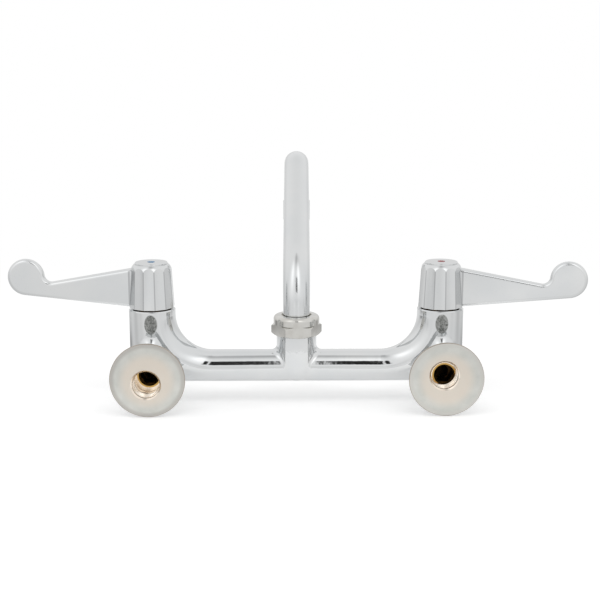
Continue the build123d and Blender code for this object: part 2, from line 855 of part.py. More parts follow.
def index_dot(side):
    """Coloured dot that stands a little proud of the cap it is set into."""
    with BuildPart() as dot:
        extrude(ring(side.level(cap_top - dot_depth), dot_diameter), amount=dot_depth + dot_crown)
        chamfer(dot.faces().sort_by(Axis.Z)[-1].edges(), dot_crown)
    save(dot, f"index_dot_{side.name}")


# ---------------------------------------------------------------- spout


def spout_plane():
    """Upright plane through the spout at rest, with distance from the swivel axis along x."""
    turn = radians(spout_rest_turn)
    return Plane(
        origin=(0, -stand_off, 0),
        x_dir=(sin(turn), -cos(turn), 0),
        z_dir=(-cos(turn), -sin(turn), 0),
    )


def outlet_place():
    """Distance from the swivel axis to the outlet's axis and the height of the tube's end."""
    slope = radians(run_slope)
    bend_start = swivel_top + upright_length
    run_x = lower_bend * (1 - sin(slope))
    run_z = bend_start + lower_bend * cos(slope)
    run_length = (spout_reach - run_x - upper_bend * (1 + sin(slope))) / cos(slope)
    tube_end = run_z + run_length * sin(slope) - upper_bend * cos(slope) - outlet_drop
    return run_length, tube_end


run_length, tube_end = outlet_place()
outlet_x, outlet_y, _ = tuple(spout_plane().from_local_coords((spout_reach, 0, 0)))
insert_seat = tube_end - aerator_washer_height - insert_height
screen_seat = insert_seat - screen_thickness
aerator_bottom = screen_seat - aerator_lip
outlet_axis = Axis((outlet_x, outlet_y, 0), (0, 0, 1))
outlet_upright = Plane(origin=(outlet_x, outlet_y, 0), x_dir=(1, 0, 0), z_dir=(0, -1, 0))


def outlet_level(height):
    """Level plane on the outlet's axis."""
    return Plane(origin=(outlet_x, outlet_y, height), x_dir=(1, 0, 0), z_dir=(0, 0, 1))


def spout_tube():
    """Bent tube: upright, a wide lower bend, a straight rising run and a tighter upper bend."""
    slope = radians(run_slope)
    foot = sleeve_foot + sleeve_ledge
    bend_start = swivel_top + upright_length
    run_start = (lower_bend * (1 - sin(slope)), bend_start + lower_bend * cos(slope))
    run_end = (run_start[0] + run_length * cos(slope), run_start[1] + run_length * sin(slope))
    upper_centre = (spout_reach - upper_bend, run_end[1] - upper_bend * cos(slope))
    with BuildPart() as tube:
        with BuildLine(spout_plane()) as spine:
            Line((0, foot), (0, bend_start))
            CenterArc((lower_bend, bend_start), lower_bend, 180, run_slope - 90)
            Line(run_start, run_end)
            CenterArc(upper_centre, upper_bend, 90 + run_slope, -90 - run_slope)
            Line((spout_reach, upper_centre[1]), (spout_reach, tube_end))
        section = ring(centre_level(foot), spout_diameter, spout_diameter - 2 * spout_wall)
        sweep(section, path=spine.wire())
    save(tube, "spout_tube")


def spout_sleeve():
    """Brass sleeve on the tube's foot, with two ring grooves and the shoulder it hangs by."""
    sleeve = socket_diameter / 2 - running_gap
    tube_seat = spout_diameter / 2 + thread_gap
    ledge = spout_diameter / 2 - spout_wall
    floor = groove_floor(socket_diameter, sleeve_ring_section)
    shoulder_top = shoulder_seat + sleeve_shoulder_height
    with BuildPart() as collar:
        revolve(
            outline(
                centre_upright,
                (ledge, sleeve_foot),
                (sleeve, sleeve_foot),
                (sleeve, shoulder_seat),
                (sleeve_shoulder / 2, shoulder_seat),
                (sleeve_shoulder / 2, shoulder_top),
                (tube_seat, shoulder_top),
                (tube_seat, sleeve_foot + sleeve_ledge),
                (ledge, sleeve_foot + sleeve_ledge),
            ),
            axis=centre_axis,
        )
        for height in sleeve_ring_heights:
            groove_foot = sleeve_foot + height - sleeve_ring_section / 2 - slip_gap
            groove = ring(centre_level(groove_foot), socket_diameter, 2 * floor)
            extrude(groove, amount=sleeve_ring_section + 2 * slip_gap, mode=Mode.SUBTRACT)
    save(collar, "spout_sleeve")


def spout_rings():
    """Two rubber rings that seal the sleeve in its socket."""
    with BuildPart() as rubber:
        for height in sleeve_ring_heights:
            place = sleeve_foot + height
            section = rubber_section(centre_upright, socket_diameter, sleeve_ring_section, place)
            revolve(section, axis=centre_axis)
    save(rubber, "spout_rings")


def slip_washer():
    """Low-friction washer between the turning shoulder and the nut's lip."""
    with BuildPart() as washer:
        outer = swivel_bore - 2 * slip_gap
        inner = spout_diameter + 2 * slip_washer_gap
        extrude(ring(centre_level(washer_seat), outer, inner), amount=slip_washer_thickness)
    save(washer, "slip_washer")


def swivel_nut():
    """Hexagon nut with a rounded collar that keeps the spout down and lets it turn."""
    foot = boss_height + swivel_foot_gap
    hex_top = foot + swivel_hex_height
    with BuildPart() as nut:
        with BuildSketch(centre_level(foot)):
            RegularPolygon(swivel_flats / 2, 6, major_radius=False, rotation=swivel_turn)
        extrude(amount=swivel_hex_height)
        turned = turned_hexagon(centre_upright, swivel_flats, foot, hex_top, turn_foot=True)
        revolve(turned, axis=centre_axis, mode=Mode.INTERSECT)
        extrude(ring(centre_level(hex_top), swivel_collar), amount=swivel_top - hex_top)
        fillet(nut.faces().sort_by(Axis.Z)[-1].edges(), swivel_collar_edge)
        extrude(ring(centre_level(foot), swivel_bore), amount=lip_seat - foot, mode=Mode.SUBTRACT)
        extrude(ring(centre_level(lip_seat), swivel_mouth), amount=swivel_lip, mode=Mode.SUBTRACT)
    save(nut, "swivel_nut")


# ---------------------------------------------------------------- aerator


def aerator_housing():
    """Short turned sleeve on the tube's end, with a lip that carries the screen and insert."""
    bore = spout_diameter + 2 * thread_gap
    with BuildPart() as housing:
        extrude(ring(outlet_level(aerator_bottom), aerator_diameter), amount=aerator_height)
        rims = housing.edges().filter_by(GeomType.CIRCLE)
        chamfer(rims, aerator_edge)
        inside = ring(outlet_level(screen_seat), bore)
        extrude(inside, amount=aerator_height - aerator_lip, mode=Mode.SUBTRACT)
        mouth = ring(outlet_level(aerator_bottom), aerator_mouth)
        extrude(mouth, amount=aerator_lip, mode=Mode.SUBTRACT)
    save(housing, "aerator_housing")


def aerator_screen():
    """Thin perforated disc on the housing's lip, with rings of holes round a middle one."""
    with BuildPart() as screen:
        extrude(ring(outlet_level(screen_seat), spout_diameter), amount=screen_thickness)
        with BuildSketch(outlet_level(screen_seat)):
            Circle(screen_hole / 2)
            for circle in range(1, screen_rings + 1):
                with PolarLocations(circle * screen_pitch, circle * screen_first_ring):
                    Circle(screen_hole / 2)
        extrude(amount=screen_thickness, mode=Mode.SUBTRACT)
    save(screen, "aerator_screen")


def aerator_insert():
    """Flow insert: a ring and a core joined by radial vanes."""
    outer = spout_diameter
    inner = outer - 2 * insert_wall
    with BuildPart() as insert:
        extrude(ring(outlet_level(insert_seat), outer, inner), amount=insert_height)
        extrude(ring(outlet_level(insert_seat), insert_core), amount=insert_height)
        vane_length = (inner - insert_core) / 2 + insert_wall
        with BuildSketch(outlet_level(insert_seat)):
            with PolarLocations((inner + insert_core) / 4, insert_vanes):
                Rectangle(vane_length, vane_thickness)
        extrude(amount=insert_height)
    save(insert, "aerator_insert")


def aerator_washer():
    """Rubber washer between the insert and the tube's end."""
    with BuildPart() as washer:
        flat_ring = ring(outlet_level(tube_end), spout_diameter, aerator_washer_bore)
        extrude(flat_ring, amount=-aerator_washer_height)
    save(washer, "aerator_washer")


# ---------------------------------------------------------------- every piece

body_casting()
for half in (cold, hot):
    inlet_flange(half)
    flange_gasket(half)
    hexagon_nipple(half)
    seat_seal(half)
    fixed_disc(half)
    moving_disc(half)
    cartridge_body(half)
    cartridge_ring(half)
    stem(half)
    stem_ring(half)
    bonnet_nut(half)
    handle(half)
    handle_screw(half)
    index_cap(half)
    index_dot(half)
spout_tube()
spout_sleeve()
spout_rings()
slip_washer()
swivel_nut()
aerator_housing()
aerator_screen()
aerator_insert()
aerator_washer()
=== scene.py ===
"""A commercial wall faucet with two wrist blades and a swivel spout.

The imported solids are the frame. This script gives every piece the finish that the real one has,
adds the fine thread in the pipe bores, and sets up a white table, soft lamps and the camera.
Lengths inside Blender are metres, and sizes that are named in millimetres end in _mm.
"""

import logging
from dataclasses import dataclass, replace
from enum import Enum
from math import cos, radians, sin
from typing import Protocol

import bpy
import numpy as np
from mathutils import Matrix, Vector


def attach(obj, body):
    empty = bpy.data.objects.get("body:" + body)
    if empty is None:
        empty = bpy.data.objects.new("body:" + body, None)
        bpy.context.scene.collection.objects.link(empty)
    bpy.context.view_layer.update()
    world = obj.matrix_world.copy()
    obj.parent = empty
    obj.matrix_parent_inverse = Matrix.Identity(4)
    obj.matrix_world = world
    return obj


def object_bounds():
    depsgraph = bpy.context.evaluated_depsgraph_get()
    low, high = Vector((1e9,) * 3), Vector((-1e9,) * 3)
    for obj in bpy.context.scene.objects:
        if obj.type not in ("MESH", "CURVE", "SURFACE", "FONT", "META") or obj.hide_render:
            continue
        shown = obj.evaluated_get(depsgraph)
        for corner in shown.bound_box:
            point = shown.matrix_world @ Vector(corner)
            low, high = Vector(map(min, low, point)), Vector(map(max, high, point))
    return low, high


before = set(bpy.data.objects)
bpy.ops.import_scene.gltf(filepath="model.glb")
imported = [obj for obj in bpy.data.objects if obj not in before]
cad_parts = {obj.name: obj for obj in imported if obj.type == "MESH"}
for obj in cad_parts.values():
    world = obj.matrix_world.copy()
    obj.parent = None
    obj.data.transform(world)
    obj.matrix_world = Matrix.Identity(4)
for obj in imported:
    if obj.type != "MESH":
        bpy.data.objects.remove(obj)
CAD_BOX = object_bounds()

log = logging.getLogger("wall_faucet")

Tree = bpy.types.NodeTree
Socket = bpy.types.NodeSocket
Pair = tuple[float, float]
Triple = tuple[float, float, float]
Colour = tuple[float, float, float, float]

MM = 0.001
ALONG, DEEP, UP = (1.0, 0.0, 0.0), (0.0, 1.0, 0.0), (0.0, 0.0, 1.0)
WHITE = (1.0, 1.0, 1.0, 1.0)
# Towers, legs and flanges stand this far from the middle, four inches to either side.
TOWER_X_MM = 101.6
# Upright axes of the towers and the spout, as far from the wall.
AXIS_Y_MM = -41.0
# Nearly all of a noise lies in this range.
NOISE_RANGE = {"From Min": 0.35, "From Max": 0.65}
# Octaves of the noise by which a finish drifts.
DRIFT_DETAIL = 3.0
# Settings that nodes share: a product, a range with soft ends and a mix of colours.
TIMES = {"operation": "MULTIPLY"}
SMOOTH = {"interpolation_type": "SMOOTHSTEP"}
COLOURS = {"data_type": "RGBA"}


class Side(Enum):
    """Supply side of a piece. Cold is at the photograph's left."""

    COLD = "cold"
    HOT = "hot"


class Slot(Enum):
    """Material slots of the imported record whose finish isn't fitted to one place."""

    CHROME = "chrome"
    NICKEL = "nickel"
    BRASS = "brass"
    STEEL = "steel"
    CERAMIC = "ceramic"
    ACETAL = "acetal"
    RUBBER = "rubber"
    FIBRE = "fibre"
    BLUE = "blue_dot"
    RED = "red_dot"


def linear(hex_colour: str) -> Colour:
    """Turn an sRGB colour into the linear one that shaders read.

    A channel up to 0.04045 is divided by 12.92. Above that it is raised, with 0.055 added and
    over 1.055, to the power 2.4.

    Args:
        hex_colour: Six hexadecimal digits, with or without a leading hash.

    Returns:
        Red, green, blue and an alpha of one.
    """
    digits = hex_colour.lstrip("#")
    srgb = np.array([int(digits[place:place + 2], 16) for place in (0, 2, 4)]) / 255
    channels = np.where(srgb <= 0.04045, srgb / 12.92, ((srgb + 0.055) / 1.055) ** 2.4)
    return (*(float(channel) for channel in channels), 1.0)


def add_node(
    tree: Tree,
    kind: str,
    settings: dict[str, object] | None = None,
    inputs: dict[str | int, object] | None = None,
) -> bpy.types.Node:
    """Add one node with its settings and its links.

    Args:
        tree: Node tree of a material or of the world.
        kind: The node's type, without the leading ShaderNode.
        settings: Fields of the node and the value of each.
        inputs: Sockets by name or number, each with a plain value or another node's output.

    Returns:
        The new node.
    """
    node = tree.nodes.new("ShaderNode" + kind)
    for name, value in (settings or {}).items():
        setattr(node, name, value)
    for name, value in (inputs or {}).items():
        if isinstance(value, Socket):
            tree.links.new(value, node.inputs[name])
        else:
            node.inputs[name].default_value = value
    return node


def bare_tree(owner: bpy.types.Material | bpy.types.World) -> Tree:
    """Turn an owner's nodes on, and clear away the ones that it starts with.

    Args:
        owner: The material or world.

    Returns:
        Its empty node tree.
    """
    owner.use_nodes = True
    owner.node_tree.nodes.clear()
    return owner.node_tree


def length_from(tree: Tree, place: Socket, middle_mm: Triple, weights: Triple) -> Socket:
    """Length of the offset from a point, with each of its three parts times a weight.

    Args:
        tree: Node tree of the material.
        place: Object coordinates.
        middle_mm: The point.
        weights: One keeps a part of the offset, and nought leaves it out.

    Returns:
        The length, in metres where every weight is one or nought.
    """
    offset = {0: place, 1: tuple(-part * MM for part in middle_mm)}
    moved = add_node(tree, "VectorMath", {"operation": "ADD"}, offset).outputs[0]
    kept = add_node(tree, "VectorMath", TIMES, {0: moved, 1: weights}).outputs[0]
    return add_node(tree, "VectorMath", {"operation": "LENGTH"}, {0: kept}).outputs["Value"]


def across(axis: Triple) -> Triple:
    """Weights that leave out the part of an offset along an axis.

    Args:
        axis: The axis, as one of the three unit directions.

    Returns:
        One across the axis and nought along it.
    """
    return tuple(1 - part for part in axis)


class Region(Protocol):
    """A place on a piece that has its own colour."""

    def mask(self, tree: Tree, place: Socket) -> Socket:
        """One inside the region and nought outside it."""


@dataclass(frozen=True)
class Cavity:
    """The inside of a cylinder, such as a way in a casting, which polish and plate don't reach.

    Attributes:
        axis: Its direction, along one of the three axes.
        centre_mm: A point of its axis.
        reach_mm: Its radius, and its lowest and highest coordinate along the axis.
    """

    axis: Triple
    centre_mm: Triple
    reach_mm: Triple

    def mask(self, tree: Tree, place: Socket) -> Socket:
        """One inside the cylinder and nought outside it.

        The distance from the axis has to be less than the radius, and the coordinate along the
        axis has to lie between the two ends. The three tests are multiplied.

        Args:
            tree: Node tree of the material.
            place: Object coordinates.

        Returns:
            The mask.
        """
        radius, low, high = (part * MM for part in self.reach_mm)
        aside = length_from(tree, place, self.centre_mm, across(self.axis))
        along = {0: place, 1: self.axis}
        along = add_node(tree, "VectorMath", {"operation": "DOT_PRODUCT"}, along).outputs["Value"]
        mask: Socket | float = 1.0
        for operation, value, limit in (
            ("LESS_THAN", aside, radius),
            ("GREATER_THAN", along, low),
            ("LESS_THAN", along, high),
        ):
            test = add_node(tree, "Math", {"operation": operation}, {0: value, 1: limit})
            product = {0: mask, 1: test.outputs[0]}
            mask = add_node(tree, "Math", TIMES, product).outputs[0]
        return mask


@dataclass(frozen=True)
class Beyond:
    """All that lies past a distance from an axis or the wall, or short of it if the fade falls.

    Attributes:
        middle_mm: A point of the axis or the wall.
        weights: Which parts of the offset from it count.
        fade_mm: Distance at which the mask is still nought, and distance at which it is one.
    """

    middle_mm: Triple
    weights: Triple
    fade_mm: Pair

    def mask(self, tree: Tree, place: Socket) -> Socket:
        """Nought to one over the fade, by the length of the offset.

        Args:
            tree: Node tree of the material.
            place: Object coordinates.

        Returns:
            The mask.
        """
        start, end = (edge * MM for edge in self.fade_mm)
        length = length_from(tree, place, self.middle_mm, self.weights)
        fade = {"Value": length, "From Min": start, "From Max": end}
        return add_node(tree, "MapRange", SMOOTH, fade).outputs[0]


@dataclass(frozen=True)
class GreyOval:
    """An upright oval on the wall side of a tower.

    Attributes:
        middle_mm: Place of its middle along the wall, and its height.
        half_mm: Half its width and half its height.
        fade: Shares of those half sizes at which the mask is still nought and at which it is one.
        depth_mm: How far from the wall it may reach.
    """

    middle_mm: Pair
    half_mm: Pair = (4.5, 6.9)
    fade: Pair = (1.04, 0.92)
    depth_mm: float = 36.0

    def mask(self, tree: Tree, place: Socket) -> Socket:
        """One inside the oval, by the length of the offset over its half sizes.

        Args:
            tree: Node tree of the material.
            place: Object coordinates.

        Returns:
            The mask.
        """
        aside, height = self.middle_mm
        half_width, half_height = (half * MM for half in self.half_mm)
        weights = (1 / half_width, 0.0, 1 / half_height)
        share = length_from(tree, place, (aside, 0.0, height), weights)
        start, end = self.fade
        edge = {"Value": share, "From Min": start, "From Max": end}
        oval = add_node(tree, "MapRange", None, edge).outputs[0]
        level = add_node(tree, "SeparateXYZ", None, {0: place}).outputs[1]
        limit = {0: level, 1: -self.depth_mm * MM}
        near = add_node(tree, "Math", {"operation": "GREATER_THAN"}, limit).outputs[0]
        return add_node(tree, "Math", TIMES, {0: oval, 1: near}).outputs[0]


@dataclass(frozen=True)
class Arrises:
    """The arrises between the flutes of a hub, rounded by the polishing wheel, each with a painted
    reflection line.

    Attributes:
        centre_mm: A point of the hub's axis.
        first_turn: Degrees about the axis at which one arris stands.
        pitch_turn: Degrees between two arrises.
        half_line_mm: Half the width of an arris.
        fade: Shares of that half width at which the mask is still nought and at which it is one.
        hub_mm: Radius of the hub, and its lowest and highest level.
    """

    centre_mm: Triple
    first_turn: float
    pitch_turn: float = 30.0
    half_line_mm: float = 0.42
    fade: Pair = (1.5, 0.5)
    hub_mm: Triple = (16.3, 42.0, 69.5)

    def mask(self, tree: Tree, place: Socket) -> Socket:
        """One on an arris, fading to either side of it.

        The angle about the axis, less that of the first arris, is folded over half a pitch. That
        gives the angle to the nearest arris, which is set against half an arris's own angle.

        Args:
            tree: Node tree of the material.
            place: Object coordinates.

        Returns:
            The mask.
        """
        offset = {0: place, 1: tuple(-part * MM for part in self.centre_mm)}
        moved = add_node(tree, "VectorMath", {"operation": "ADD"}, offset).outputs[0]
        parts = add_node(tree, "SeparateXYZ", None, {0: moved}).outputs
        turn = add_node(tree, "Math", {"operation": "ARCTAN2"}, {0: parts[1], 1: parts[0]})
        turn = {0: turn.outputs[0], 1: radians(self.first_turn)}
        turn = add_node(tree, "Math", {"operation": "SUBTRACT"}, turn).outputs[0]
        aside = {0: turn, 1: radians(self.pitch_turn / 2)}
        aside = add_node(tree, "Math", {"operation": "PINGPONG"}, aside).outputs[0]
        start, end = (share * self.half_line_mm / self.hub_mm[0] for share in self.fade)
        edge = {"Value": aside, "From Min": start, "From Max": end}
        line = add_node(tree, "MapRange", SMOOTH, edge).outputs[0]
        hub = Cavity(UP, self.centre_mm, self.hub_mm).mask(tree, place)
        return add_node(tree, "Math", TIMES, {0: line, 1: hub}).outputs[0]


@dataclass(frozen=True)
class Coat:
    """A colour, and a roughness where it has its own, that cover one region of a piece.

    Attributes:
        region: Where the coat lies.
        tone: Its colour, in sRGB.
        gloss: Its roughness, or None where it keeps that of what lies below.
    """

    region: Region
    tone: str
    gloss: float | None = None

    def colour(self, tree: Tree, place: Socket) -> Socket | Colour:
        """The same tone all over the region."""
        return linear(self.tone)

    def lay(self, tree: Tree, place: Socket, tone: Socket, gloss: Socket) -> tuple[Socket, Socket]:
        """Mix the coat over what lies below it, by the region's mask.

        Args:
            tree: Node tree of the material.
            place: Object coordinates.
            tone: Colour of what lies below.
            gloss: Roughness of what lies below.

        Returns:
            Colour and roughness, with the coat over them.
        """
        share = self.region.mask(tree, place)
        layer = {0: share, 6: tone, 7: self.colour(tree, place)}
        tone = add_node(tree, "Mix", COLOURS, layer).outputs[2]
        if self.gloss is not None:
            gloss = add_node(tree, "Mix", None, {0: share, 2: gloss, 3: self.gloss}).outputs[0]
        return tone, gloss


@dataclass(frozen=True)
class MottledCoat(Coat):
    """A coat whose tone turns, in small ragged patches, to a brighter one.

    Attributes:
        bright_tone: Colour of the bright patches, in sRGB.
        patch_mm: Size of the patches.
        rag: How far their edges are pulled about.
    """

    bright_tone: str = "#A8A9A7"
    patch_mm: float = 1.8
    rag: float = 1.5

    def colour(self, tree: Tree, place: Socket) -> Socket:
        """Tone and bright tone, mixed by a noise in patches of their size.

        Args:
            tree: Node tree of the material.
            place: Object coordinates.

        Returns:
            The colour.
        """
        patches = {"Vector": place, "Scale": 1 / (self.patch_mm * MM), "Distortion": self.rag}
        noise = add_node(tree, "TexNoise", None, patches).outputs[0]
        share = add_node(tree, "MapRange", None, {"Value": noise} | NOISE_RANGE).outputs[0]
        tones = {0: share, 6: linear(self.tone), 7: linear(self.bright_tone)}
        return add_node(tree, "Mix", COLOURS, tones).outputs[2]


@dataclass(frozen=True)
class Finish:
    """A surface of two close tones that drift into each other, over a fine grain.

    Attributes:
        name: Common name of the material and how its surface was made.
        tone: Main colour, in sRGB.
        drift_tone: Colour that the main one drifts towards, in sRGB.
        metallic: One for a bare metal, nought for anything else.
        gloss: Lowest and highest roughness.
        drift_mm: Size of the patches in which tone and roughness drift.
        grain_mm: Spacing of the grain or of the waves in the surface.
        grain_depth_mm: Height of that grain.
        ior: Refractive index, left at its usual value on a metal.
        coats: What lies over it in places, each over the ones before it.
    """

    name: str
    tone: str
    drift_tone: str
    metallic: float
    gloss: Pair
    drift_mm: float
    grain_mm: float
    grain_depth_mm: float
    ior: float = 1.5
    coats: tuple[Coat, ...] = ()

    def material(self) -> bpy.types.Material:
        """Build the material: the drifting tones, the coats over them and the relief.

        Returns:
            The finished material.
        """
        material = bpy.data.materials.new(self.name)
        tree = bare_tree(material)
        place = add_node(tree, "TexCoord").outputs["Object"]
        tone, gloss = self.ground(tree, place)
        for coat in self.coats:
            tone, gloss = coat.lay(tree, place, tone, gloss)
        surface = {"Base Color": tone, "Roughness": gloss, "Normal": self.relief(tree, place)}
        surface |= {"Metallic": self.metallic, "IOR": self.ior}
        shader = add_node(tree, "BsdfPrincipled", None, surface).outputs[0]
        add_node(tree, "OutputMaterial", None, {"Surface": shader})
        return material

    def ground(self, tree: Tree, place: Socket) -> tuple[Socket, Socket]:
        """Colour and roughness below the coats, which drift together in patches of a noise.

        Args:
            tree: Node tree of the material.
            place: Object coordinates.

        Returns:
            The colour and the roughness.
        """
        patches = {"Vector": place, "Scale": 1 / (self.drift_mm * MM), "Detail": DRIFT_DETAIL}
        noise = add_node(tree, "TexNoise", None, patches).outputs[0]
        share = add_node(tree, "MapRange", None, {"Value": noise} | NOISE_RANGE).outputs[0]
        tones = {0: share, 6: linear(self.tone), 7: linear(self.drift_tone)}
        tone = add_node(tree, "Mix", COLOURS, tones).outputs[2]
        smooth, rough = self.gloss
        spread = {"Value": share, "To Min": smooth, "To Max": rough}
        return tone, add_node(tree, "MapRange", None, spread).outputs[0]

    def relief(self, tree: Tree, place: Socket) -> Socket:
        """Grain of its real spacing and height, as a bump.

        Args:
            tree: Node tree of the material.
            place: Object coordinates.

        Returns:
            The bumped normal.
        """
        grain = {"Vector": place, "Scale": 1 / (self.grain_mm * MM)}
        grain = add_node(tree, "TexNoise", None, grain).outputs[0]
        height = {"Height": grain, "Distance": self.grain_depth_mm * MM, "Strength": 1.0}
        return add_node(tree, "Bump", None, height).outputs[0]


@dataclass(frozen=True)
class TurnedFinish(Finish):
    """A surface that was turned on a lathe, with fine rings round an axis over its grain.

    Attributes:
        axis: Direction of the axis, along one of the three axes.
        centre_mm: A point of the axis.
        ring_mm: Spacing of the tool's rings, drawn as coarse as they need to show.
        ring_depth_mm: Height of the rings.
    """

    axis: Triple = UP
    centre_mm: Triple = (0.0, 0.0, 0.0)
    ring_mm: float = 0.5
    ring_depth_mm: float = 0.004

    def relief(self, tree: Tree, place: Socket) -> Socket:
        """Sine of the distance from the axis over the rings' spacing, on top of the grain.

        Args:
            tree: Node tree of the material.
            place: Object coordinates.

        Returns:
            The bumped normal.
        """
        aside = length_from(tree, place, self.centre_mm, across(self.axis))
        phase = {0: aside, 1: 2 * np.pi / (self.ring_mm * MM)}
        phase = add_node(tree, "Math", TIMES, phase).outputs[0]
        wave = add_node(tree, "Math", {"operation": "SINE"}, {0: phase}).outputs[0]
        height = {"Height": wave, "Distance": self.ring_depth_mm * MM, "Strength": 1.0}
        height["Normal"] = Finish.relief(self, tree, place)
        return add_node(tree, "Bump", None, height).outputs[0]


# Roughness of a plate as it left the wheel, and of one with a faint haze.
MIRROR = (0.03, 0.07)
HAZE = (0.12, 0.15)
# Bright chromium over nickel on polished brass: a mirror with slow waves left by the wheel.
CHROME = Finish("Chrome_plate_wheel_polished", "#D9DADA", "#D4D6D7", 1.0, MIRROR, 30, 9.0, 0.012)
# The same plate on the drawn tube of the spout: lower waves and a faint haze.
TUBE_CHROME = replace(CHROME, name="Chrome_plate_on_drawn_tube", gloss=HAZE, grain_depth_mm=0.01)
# Nickel plate on a turned nut, less bright than chrome: a faint warmth and soft-edged reflections.
NICKEL = Finish("Nickel_plate_satin", "#D1D0CC", "#C7C5C0", 1.0, (0.04, 0.09), 6, 1.2, 0.004)
# Yellow brass straight from the lathe: gold, with the tool's fine rings.
BRASS = TurnedFinish("Yellow_brass_turned", "#E3C78E", "#CBA86E", 1.0, (0.16, 0.30), 3, 0.8, 0.004)
# The same brass with a flash of plate that ran into the mouth of the bore: rose and glossy.
FLASHED_BRASS = Finish(
    "Yellow_brass_flash_plated", "#F0E8DD", "#E4D5C2", 1.0, (0.05, 0.12), 5, 1.6, 0.01
)
# Brass darkened to brown as painted shade, for the hollows of the bore and the tower: dull.
SHADED_BRASS = Finish("Yellow_brass_in_painted_shade", "#66502F", "#4C3A22", 1.0, (0.42, 0.58), 4, 0.6, 0.01)
# Stainless steel, tumbled: grey, between satin and bright.
STEEL = Finish("Stainless_steel_tumbled", "#C6C4C0", "#B5B3B0", 1.0, (0.24, 0.36), 2, 0.5, 0.004)
# Sintered alumina, lapped: white, hard and smooth.
CERAMIC = Finish("Alumina_lapped", "#F1EEE6", "#E8E4DA", 0.0, (0.12, 0.2), 4, 0.4, 0.001, 1.76)
# Acetal resin, moulded: ivory, faintly waxy.
ACETAL = Finish("Acetal_moulded", "#E6E2D6", "#DAD5C8", 0.0, (0.3, 0.42), 3, 0.5, 0.004, 1.48)
# Nitrile rubber, moulded: black with a dull bloom.
RUBBER = Finish(
    "Nitrile_rubber_moulded", "#1C1C1D", "#2A2928", 0.0, (0.5, 0.68), 1.5, 0.3, 0.008, 1.52
)
# Vulcanised fibre, punched from sheet: red-brown paper board with short fibres.
FIBRE = Finish("Vulcanised_fibre_punched", "#8C4A32", "#7A3C2A", 0.0, (0.55, 0.75), 1.5, 0.35, 0.02)
# Baked enamel filled into the cap: deep, with a soft sheen and a faintly domed surface.
BLUE = Finish("Baked_enamel_blue", "#28678F", "#3576A0", 0.0, (0.3, 0.4), 1.2, 0.8, 0.004, 1.45)
RED = Finish("Baked_enamel_red", "#7A141B", "#8C1E24", 0.0, (0.3, 0.4), 1.2, 0.8, 0.004, 1.45)

# Raw brass in a casting's ways, darkened to dark brown as painted shade: colour and roughness.
SHADED_RAW_BRASS = ("#5E472B", 0.55)


class Workshop:
    """Keeps one material for each slot, and puts it on CAD nodes and on new pieces."""

    def __init__(self) -> None:
        """Build the material of every slot."""
        finishes = {
            Slot.CHROME: CHROME,
            Slot.NICKEL: NICKEL,
            Slot.BRASS: BRASS,
            Slot.STEEL: STEEL,
            Slot.CERAMIC: CERAMIC,
            Slot.ACETAL: ACETAL,
            Slot.RUBBER: RUBBER,
            Slot.FIBRE: FIBRE,
            Slot.BLUE: BLUE,
            Slot.RED: RED,
        }
        self.stock = {slot: finish.material() for slot, finish in finishes.items()}

    def coat(self, node: str, finish: Slot | Finish) -> None:
        """Put a finish on every material slot of a CAD node.

        Args:
            node: Name of the CAD node.
            finish: A slot, or a finish that is fitted to this place.
        """
        material = self.stock[finish] if isinstance(finish, Slot) else finish.material()
        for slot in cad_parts[node].material_slots:
            slot.material = material
        log.info("%s: %s", node, material.name)

    def add(self, name: str, mesh: bpy.types.Mesh, body: str, slot: Slot, finish: Finish) -> None:
        """Make an object of a new mesh, give it its finish and let it ride on a body.

        Args:
            name: Name of the new piece.
            mesh: Its mesh, in place.
            body: The CAD body that carries it.
            slot: The record's material slot that it belongs to. Not used.
            finish: Its finish.
        """
        piece = bpy.data.objects.new(name, mesh)
        bpy.context.scene.collection.objects.link(piece)
        mesh.materials.append(finish.material())
        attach(piece, body)
        log.info("%s: %d faces", name, len(mesh.polygons))


def grid_mesh(name: str, points: np.ndarray, closed_across: bool = False) -> bpy.types.Mesh:
    """Make a smooth mesh of a grid of points, with a face between each four neighbours.

    Args:
        name: Name of the mesh.
        points: Array of rows by columns by three, in metres.
        closed_across: True where the last column meets the first.

    Returns:
        The new mesh, whose faces look towards rows times columns.
    """
    rows, columns = points.shape[:2]
    spot = np.arange(rows * columns).reshape(rows, columns)
    if closed_across:
        spot = np.hstack([spot, spot[:, :1]])
    corners = np.stack([spot[:-1, :-1], spot[1:, :-1], spot[1:, 1:], spot[:-1, 1:]], axis=-1)
    mesh = bpy.data.meshes.new(name)
    mesh.from_pydata(points.reshape(-1, 3).tolist(), [], corners.reshape(-1, 4).tolist())
    mesh.shade_smooth()
    mesh.update()
    return mesh


